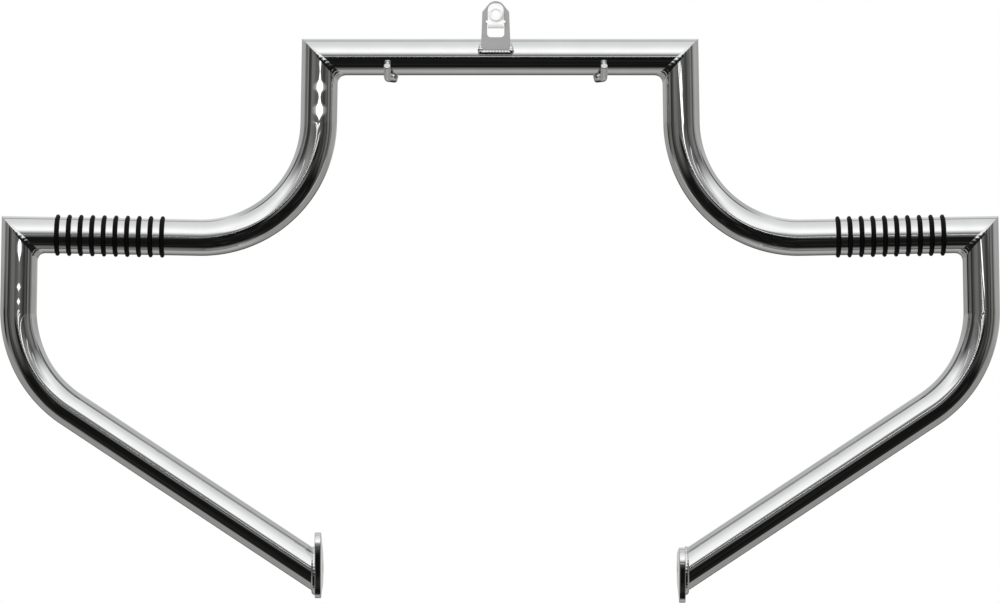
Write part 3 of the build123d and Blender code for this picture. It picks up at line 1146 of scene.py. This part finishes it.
def studio_light(do):
    """Light of the painted studio, as grey levels by where a ray looks, in degrees."""
    where = add(do.tree, "ShaderNodeTexCoord", {}).outputs["Generated"]
    x, y, z = add(do.tree, "ShaderNodeSeparateXYZ", {0: where}).outputs
    turn = math.degrees(1)
    off_front = do.times(do.sum("ARCCOSINE", do.times(y, -0.99999)), turn)
    climb = do.times(do.sum("ARCTAN2", z, do.sum("ABSOLUTE", x)), turn)
    squares = do.sum("ADD", do.sum("POWER", x, 2), do.sum("ADD", do.sum("POWER", z, 2), 1e-9))
    scale = do.sum("DIVIDE", off_front, do.sum("SQRT", squares))
    across, height = do.times(x, scale), do.times(z, scale)
    level = do.times(do.sum("ADD", z, do.times(x, math.tan(bar().tube.splay))), turn)

    # Grey walls with darker uprights
    high_wall = do.curve(across, -180, 180, (
        (-180, 190), (-156, 150), (-140, 166), (-102, 158), (-98, 72), (-94, 114), (-74, 128),
        (-67, 44), (-58, 60), (-42, 118), (-12, 84), (10, 94), (30, 58), (67, 126), (75, 62),
        (83, 132), (98, 165), (156, 150), (180, 190)))
    low_wall = do.curve(across, -180, 180, (
        (-180, 190), (-154, 128), (-138, 152), (-108, 146), (-101, 16), (-93, 18), (-88, 98),
        (-78, 110), (-67, 28), (-50, 90), (-30, 112), (-16, 78), (8, 104), (36, 46), (46, 90),
        (55, 46), (63, 126), (76, 54), (95, 150), (138, 156), (180, 190)))
    light = do.mix(do.slope(z, 0.008, 0.031), low_wall, high_wall)

    # White ceiling, its eaves, a dark cornice and a ridge line
    rise = do.curve(height, 0, 40, (
        (0, 72), (3, 92), (6, 104), (10, 126), (14, 152), (18, 186), (22, 214), (27, 238),
        (33, 251)))
    ceiling = do.curve(off_front, 0, 180, (
        (0, 252), (42, 252), (66, 226), (80, 216), (108, 209), (126, 198), (156, 212), (164, 240),
        (172, 200), (180, 206)))
    upper = do.mix(do.slope(height, 24, 36), rise, ceiling)
    overhead = do.sum("MAXIMUM", do.slope(climb, 20, 42), do.slope(off_front, 36, 20))
    light = do.mix(do.times(overhead, do.slope(height, 1.5, 5)), light, upper)
    light = do.patch(light, 174, (climb, 72, 58), (climb, 8, 22), *band(off_front, 107, 157, 6))
    light = do.patch(light, 34, (climb, 72, 52), (climb, 14, 26), *band(off_front, 96, 106, 4))
    light = do.patch(light, 84, (climb, 70, 80), *band(off_front, 117, 122, 2.5))

    # Dark floor, its lighter verge, skirting and plinth
    lower = do.curve(off_front, 0, 180, (
        (0, 40), (2, 17), (67, 17), (88, 146), (98, 163), (112, 166), (132, 122), (142, 118),
        (158, 22), (169, 20), (174, 170), (180, 204)))
    below = do.sum("MAXIMUM", do.slope(climb, -10, -30), do.slope(off_front, 30, 16))
    light = do.mix(do.times(below, do.slope(height, -0.35, -1.8)), light, lower)
    light = do.patch(light, 104, *band(climb, -62, -22, 10), (off_front, 20, 14), (off_front, 4, 6))
    light = do.patch(light, 140, (climb, -74, -60), (climb, -8, -20), *band(off_front, 90, 144, 5))
    light = do.patch(light, 24, (climb, -76, -62), (climb, -20, -34), *band(off_front, 68, 84, 5))

    # Clutter: faint glints on the floor and dark gaps in the walls
    scales = zip((off_front, across, climb), (0.2, 0.1, 0.04))
    spot = {index: do.times(*scaled) for index, scaled in enumerate(scales)}
    spot = add(do.tree, "ShaderNodeCombineXYZ", spot).outputs[0]
    clutter = add(do.tree, "ShaderNodeTexNoise", {"Vector": spot, "Scale": 1, "Detail": 3})
    clutter = clutter.outputs["Fac"]
    light = do.patch(
        light, 62, (clutter, 0.58, 0.67), (climb, -8, -16), *band(off_front, 6, 70, 4), share=0.6)
    light = do.patch(
        light, 28, (clutter, 0.47, 0.38), (climb, 34, 22), (off_front, 8, 20),
        (off_front, 100, 84), share=0.7)
    light = do.patch(light, (1, 1, 0.965, 1), (height, 24, 8), blend="MULTIPLY")

    # Bright slats, glare and shade below the ceiling, and fine rows of light
    for slat, left, right in ((15.6, -38, -16), (10, 17, 34), (17.4, 15, 38)):
        thin = band(height, slat - 0.5, slat + 0.5, 0.5)
        light = do.patch(light, 250, *thin, *band(across, left, right, 2))
    light = do.patch(
        light, 246, (do.sum("ABSOLUTE", across), 5.5, 8), (climb, 38, 52), (climb, 80, 72),
        (height, 4, 6.5), (off_front, 46, 34))
    light = do.patch(
        light, (0.89, 0.89, 0.89, 1), *band(climb, 44, 66, 8), (off_front, 26, 44),
        (off_front, 104, 90), blend="MULTIPLY")
    waves = do.sum("SINE", do.times(off_front, 0.75))
    light = do.patch(
        light, 240, (waves, 0.3, 0.9), *band(climb, 20, 54, 8), *band(off_front, 8, 38, 4),
        share=0.5)
    return lamp_row(do, light, across, level)


def studio_world():
    """White to the camera; to the chrome, the painted studio."""
    world = bpy.data.worlds.new("studio")
    bpy.context.scene.world = world
    world.use_nodes = True
    tree = world.node_tree
    tree.nodes.clear()
    studio = add(tree, "ShaderNodeBackground", {"Color": studio_light(StudioNodes(tree))})
    plain = add(tree, "ShaderNodeBackground", {"Color": (1, 1, 1, 1)})
    seen = add(tree, "ShaderNodeLightPath", {}).outputs["Is Camera Ray"]
    inputs = {0: seen, 1: studio.outputs[0], 2: plain.outputs[0]}
    either = add(tree, "ShaderNodeMixShader", inputs)
    add(tree, "ShaderNodeOutputWorld", {"Surface": either.outputs[0]})


def floor_material():
    """Pale floor that runs out to the white background."""
    material, tree, shader = fresh_material("studio_floor")
    shader.inputs["Base Color"].default_value = (*bar().finish.floor, 1)
    shader.inputs["Roughness"].default_value = 0.9
    do = StudioNodes(tree)
    where = add(tree, "ShaderNodeTexCoord", {}).outputs["Object"]
    away = add(tree, "ShaderNodeVectorMath", {0: where}, operation="LENGTH").outputs["Value"]
    white = add(tree, "ShaderNodeEmission", {"Color": (1, 1, 1, 1)})
    seen = add(tree, "ShaderNodeLightPath", {}).outputs["Is Camera Ray"]
    fade = do.times(do.slope(away, 0.55, 0.95), seen)
    inputs = {0: fade, 1: shader.outputs[0], 2: white.outputs[0]}
    either = add(tree, "ShaderNodeMixShader", inputs)
    tree.links.new(either.outputs[0], tree.nodes["Material Output"].inputs["Surface"])
    return material


def floor():
    """Round studio floor below the bar."""
    stage = bar().stage
    bm = bmesh.new()
    bmesh.ops.create_circle(bm, cap_ends=True, segments=96, radius=stage.floor_size)
    ground = put_mesh(bm, "studio_floor", floor_material())
    ground.location = (0, 0, stage.floor_z)
    ground.visible_glossy = False


def lamp(name, place_at, power):
    """Large soft lamp, aimed at the bar."""
    light = bpy.data.lights.new(name, "AREA")
    light.energy = power
    light.size = 1.4
    holder = put(name, light)
    aim = Vector((0, 0, -0.25)) - Vector(place_at)
    turned_to = aim.to_track_quat("-Z", "Y").to_matrix().to_4x4()
    holder.matrix_world = Matrix.Translation(place_at) @ turned_to
    holder.visible_glossy = False


def camera():
    """Camera square to the front of the bar."""
    stage = bar().stage
    lens = bpy.data.cameras.new("front")
    lens.sensor_fit = "HORIZONTAL"
    lens.sensor_width = 36
    lens.lens = lens.sensor_width * stage.distance / stage.across
    holder = put("front", lens)
    holder.location = (stage.eye_x, bar().tube.behind - stage.distance, stage.eye_z)
    holder.rotation_euler = (math.pi / 2, 0, 0)
    bpy.context.scene.camera = holder


class PieceOperator:
    """What all the operators share."""

    bl_options = {"REGISTER", "UNDO"}


class CRASHBAR_OT_stage(PieceOperator, bpy.types.Operator):
    """Floor, studio light and camera"""

    bl_idname = "crash_bar.stage"
    bl_label = "Stage"

    def execute(self, context):
        context.scene.view_settings.view_transform = "Standard"
        studio_world()
        floor()
        lamp("key_lamp", (-0.5, -2.0, 1.2), power=36)
        lamp("fill_lamp", (1.2, 1.0, 1.6), power=10)
        camera()
        return {"FINISHED"}


class CRASHBAR_OT_crossbar(PieceOperator, bpy.types.Operator):
    """Straight tube at the top"""

    bl_idname = "crash_bar.crossbar"
    bl_label = "Crossbar"

    def execute(self, context):
        top_crossbar()
        return {"FINISHED"}


class CRASHBAR_OT_side_tubes(PieceOperator, bpy.types.Operator):
    """Bent side tubes with their foot bars"""

    bl_idname = "crash_bar.side_tubes"
    bl_label = "Side tubes"

    def execute(self, context):
        for side in SIDES:
            side_tube(side)
        return {"FINISHED"}


class CRASHBAR_OT_legs(PieceOperator, bpy.types.Operator):
    """Bent legs"""

    bl_idname = "crash_bar.legs"
    bl_label = "Legs"

    def execute(self, context):
        for side in SIDES:
            leg(side)
        return {"FINISHED"}


class CRASHBAR_OT_end_plates(PieceOperator, bpy.types.Operator):
    """Flat mounting plates at the feet"""

    bl_idname = "crash_bar.end_plates"
    bl_label = "End plates"

    def execute(self, context):
        for side in SIDES:
            end_plate(side)
        return {"FINISHED"}


class CRASHBAR_OT_tab(PieceOperator, bpy.types.Operator):
    """Domed mounting tab"""

    bl_idname = "crash_bar.tab"
    bl_label = "Mounting tab"

    def execute(self, context):
        mounting_tab()
        return {"FINISHED"}


class CRASHBAR_OT_clip_nut(PieceOperator, bpy.types.Operator):
    """Folded clip nut on the tab"""

    bl_idname = "crash_bar.clip_nut"
    bl_label = "Clip nut"

    def execute(self, context):
        clip_nut()
        return {"FINISHED"}


class CRASHBAR_OT_hooks(PieceOperator, bpy.types.Operator):
    """Rod hooks under the crossbar"""

    bl_idname = "crash_bar.hooks"
    bl_label = "Hooks"

    def execute(self, context):
        for side in SIDES:
            hook(side)
        return {"FINISHED"}


class CRASHBAR_OT_grip_rings(PieceOperator, bpy.types.Operator):
    """Rubber rings on the foot bars"""

    bl_idname = "crash_bar.grip_rings"
    bl_label = "Grip rings"

    def execute(self, context):
        for side in SIDES:
            for number in range(bar().ring.count):
                grip_ring(side, number)
        return {"FINISHED"}


class CRASHBAR_OT_welds(PieceOperator, bpy.types.Operator):
    """Weld beads at every joint"""

    bl_idname = "crash_bar.welds"
    bl_label = "Welds"

    def execute(self, context):
        for seed, side in enumerate(SIDES):
            upper, knee, outer, heel = corners(side)[:4]
            corner_weld(side, "upper", upper, crossbar_middle(), knee, seed + 1)
            corner_weld(side, "outer", outer, knee, heel, seed + 3)
            foot_weld(side, seed + 5)
            hook_weld(side, seed + 7)
        tab_weld(9)
        return {"FINISHED"}


OPERATORS = (
    CRASHBAR_OT_stage, CRASHBAR_OT_crossbar, CRASHBAR_OT_side_tubes, CRASHBAR_OT_legs,
    CRASHBAR_OT_end_plates, CRASHBAR_OT_tab, CRASHBAR_OT_clip_nut, CRASHBAR_OT_hooks,
    CRASHBAR_OT_grip_rings, CRASHBAR_OT_welds)


class CRASHBAR_PT_pieces(bpy.types.Panel):
    """Pieces of the crash bar"""

    bl_idname = "CRASHBAR_PT_pieces"
    bl_label = "Crash bar"
    bl_space_type = "VIEW_3D"
    bl_region_type = "UI"
    bl_category = "Crash bar"

    def draw(self, context):
        for operator in OPERATORS:
            self.layout.operator(operator.bl_idname)


CLASSES = (
    TubeSizes, RingSizes, PlateSizes, TabSizes, ClipSizes, HookSizes, WeldSizes, Finishes,
    StageSettings, CrashBar, *OPERATORS, CRASHBAR_PT_pieces)


def register():
    """Adds the classes and the scene's settings."""
    for item in CLASSES:
        bpy.utils.register_class(item)
    bpy.types.Scene.crash_bar = PointerProperty(type=CrashBar)


def unregister():
    """Takes the classes and the settings away."""
    del bpy.types.Scene.crash_bar
    for item in reversed(CLASSES):
        bpy.utils.unregister_class(item)


def main():
    """Builds the dressed crash bar."""
    register()
    bpy.ops.crash_bar.stage()
    bpy.ops.crash_bar.crossbar()
    bpy.ops.crash_bar.side_tubes()
    bpy.ops.crash_bar.legs()
    bpy.ops.crash_bar.end_plates()
    bpy.ops.crash_bar.tab()
    bpy.ops.crash_bar.clip_nut()
    bpy.ops.crash_bar.hooks()
    bpy.ops.crash_bar.grip_rings()
    bpy.ops.crash_bar.welds()


if __name__ == "__main__":
    main()
